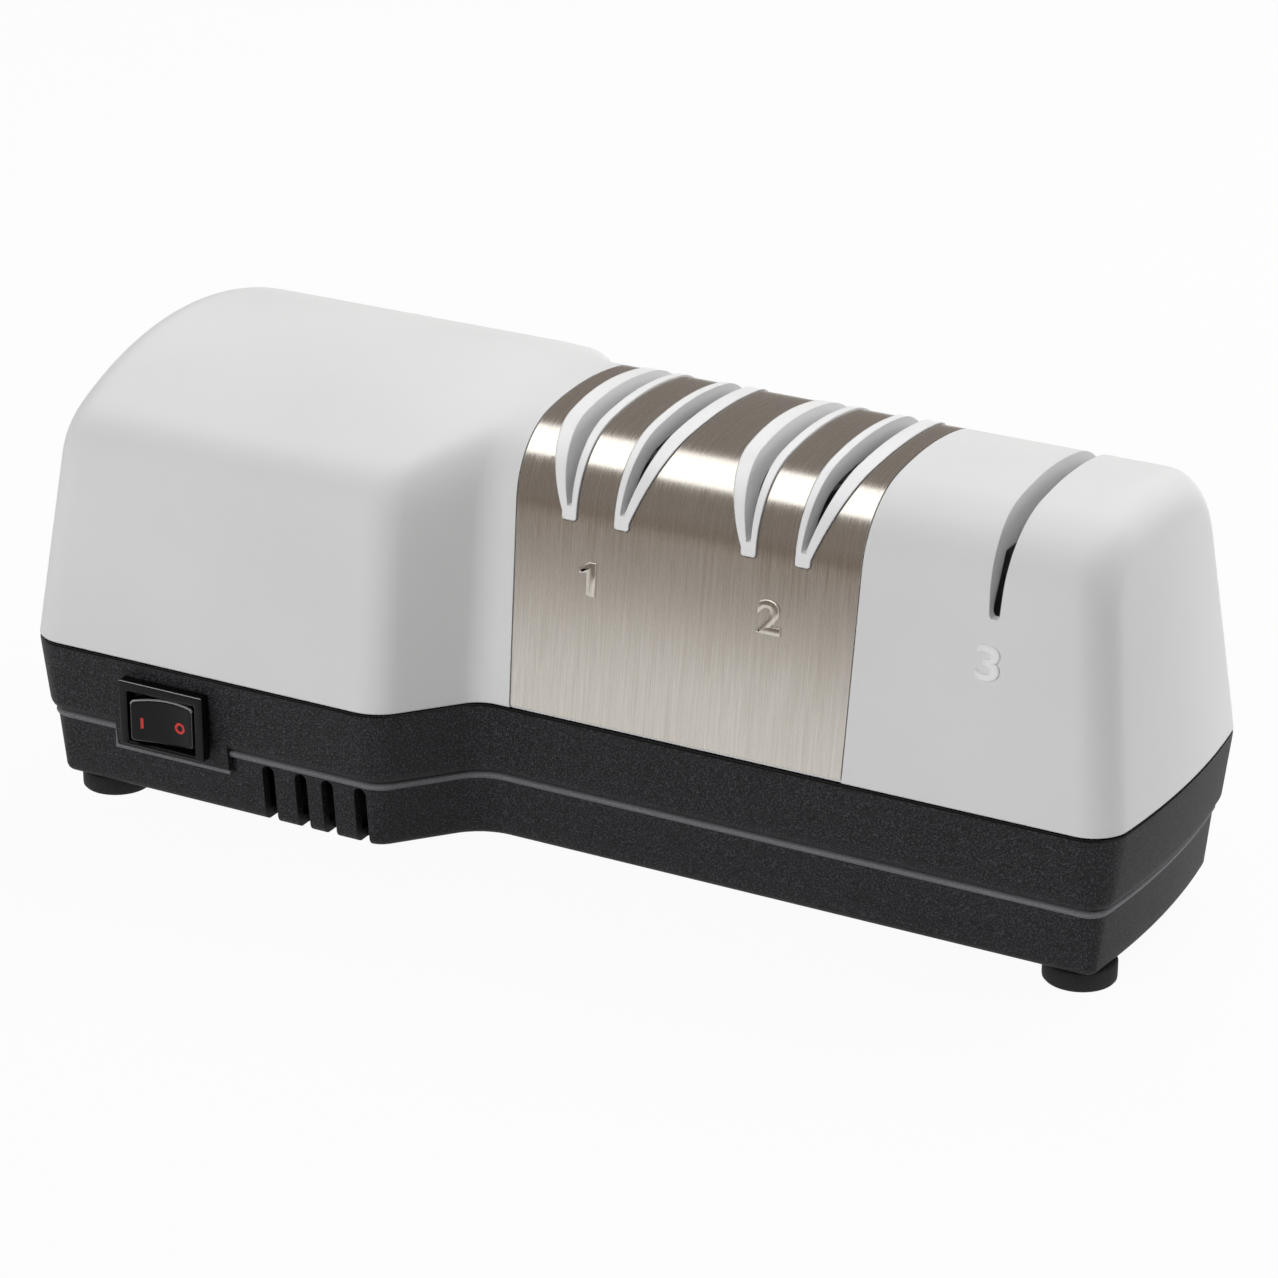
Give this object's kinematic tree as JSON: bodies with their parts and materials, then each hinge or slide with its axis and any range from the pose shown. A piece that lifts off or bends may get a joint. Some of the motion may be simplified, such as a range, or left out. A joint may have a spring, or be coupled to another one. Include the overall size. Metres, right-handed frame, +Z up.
{
  "type": "electric knife sharpener",
  "caption": "White and black electric knife sharpener with a brushed metal plate, powered slots with paired grinding discs, a hand slot with free wheels, and a rocker switch",
  "frame": {"origin": "middle of the box round the whole object, on the plane the feet stand on", "axes": "+X along the body from the motor end to the hand stage, +Y to the back, +Z up"},
  "size_m": [0.288, 0.1296, 0.1148],
  "materials": {
    "white_plastic": "satin",
    "brushed_plate": "brushed",
    "black_plastic": "fine grained",
    "gloss_black": "gloss",
    "rubber": "matte",
    "steel": "zinc plated",
    "laminations": "stacked sheet",
    "cast_aluminium": "die cast",
    "bronze": "sintered",
    "copper": "enamelled wire",
    "brass": "satin",
    "abrasive": "bonded grit",
    "ferrite": "matte",
    "nylon": "satin"
  },
  "bodies": {
    "housing": {"top_cover": "white_plastic", "metal_cover_plate": "brushed_plate", "base": "black_plastic", "foot_motor_front": "rubber", "foot_motor_back": "rubber", "foot_stage_front": "rubber", "foot_stage_back": "rubber", "cover_screw_motor_front": "steel", "cover_screw_motor_back": "steel", "cover_screw_waist_front": "steel", "cover_screw_waist_back": "steel", "cover_screw_stage_end": "steel", "cord_inlet_bushing": "rubber", "switch_housing": "gloss_black", "switch_terminal_left": "brass", "switch_terminal_right": "brass", "stator_core": "laminations", "coil_bobbin": "nylon", "motor_coil": "copper", "motor_bracket_rear": "cast_aluminium", "motor_bracket_front": "cast_aluminium", "bearing_rear": "bronze", "bearing_front": "bronze", "motor_bolt_front": "steel", "motor_bolt_back": "steel", "motor_screw_front": "steel", "motor_screw_back": "steel", "end_bearing_bracket": "cast_aluminium", "end_bearing": "bronze", "bracket_screw_front": "steel", "bracket_screw_back": "steel", "stage3_carrier": "black_plastic", "stage3_axle": "steel", "stage3_carrier_screw": "steel"},
    "rocker": {"switch_rocker": "gloss_black"},
    "hatch": {"clean_out_hatch": "black_plastic", "dust_magnet": "ferrite"},
    "rotor": {"rotor_core": "laminations", "main_shaft": "steel", "cooling_fan": "nylon", "stage1_spring": "steel", "stage1_drive_pin_left": "steel", "stage1_drive_pin_right": "steel", "stage2_spring": "steel", "stage2_drive_pin_left": "steel", "stage2_drive_pin_right": "steel"},
    "disc_1_left": {"stage1_disc_left": "abrasive"},
    "disc_1_right": {"stage1_disc_right": "abrasive"},
    "disc_2_left": {"stage2_disc_left": "abrasive"},
    "disc_2_right": {"stage2_disc_right": "abrasive"},
    "wheel_left": {"stage3_wheel_left": "abrasive"},
    "wheel_right": {"stage3_wheel_right": "abrasive"}
  },
  "joints": [
    {"name": "rocker_press", "type": "hinge", "parent": "housing", "child": "rocker", "pos_m": [-0.1001, -0.06, 0.02975], "axis": [0, 0, 1], "range_deg": [-18, 0]},
    {"name": "hatch_removal", "type": "slide", "parent": "housing", "child": "hatch", "axis": [0, 0, -1], "range_m": [0, 0.03]},
    {"name": "rotor_spin", "type": "hinge", "parent": "housing", "child": "rotor", "pos_m": [0, 0, 0.068], "axis": [1, 0, 0], "continuous": true},
    {"name": "disc_1_left_slide", "type": "slide", "parent": "rotor", "child": "disc_1_left", "axis": [1, 0, 0], "range_m": [0, 0.0015], "stiffness_N_per_m": 400, "springref_m": -0.004, "deforming": ["stage1_spring"]},
    {"name": "disc_1_right_slide", "type": "slide", "parent": "rotor", "child": "disc_1_right", "axis": [-1, 0, 0], "range_m": [0, 0.0015], "stiffness_N_per_m": 400, "springref_m": -0.004, "deforming": ["stage1_spring"]},
    {"name": "disc_2_left_slide", "type": "slide", "parent": "rotor", "child": "disc_2_left", "axis": [1, 0, 0], "range_m": [0, 0.0015], "stiffness_N_per_m": 400, "springref_m": -0.004, "deforming": ["stage2_spring"]},
    {"name": "disc_2_right_slide", "type": "slide", "parent": "rotor", "child": "disc_2_right", "axis": [-1, 0, 0], "range_m": [0, 0.0015], "stiffness_N_per_m": 400, "springref_m": -0.004, "deforming": ["stage2_spring"]},
    {"name": "wheel_left_spin", "type": "hinge", "parent": "housing", "child": "wheel_left", "pos_m": [0.1084, 0, 0.0815], "axis": [1, 0, 0], "continuous": true},
    {"name": "wheel_right_spin", "type": "hinge", "parent": "housing", "child": "wheel_right", "pos_m": [0.1084, 0, 0.0815], "axis": [1, 0, 0], "continuous": true}
  ]
}
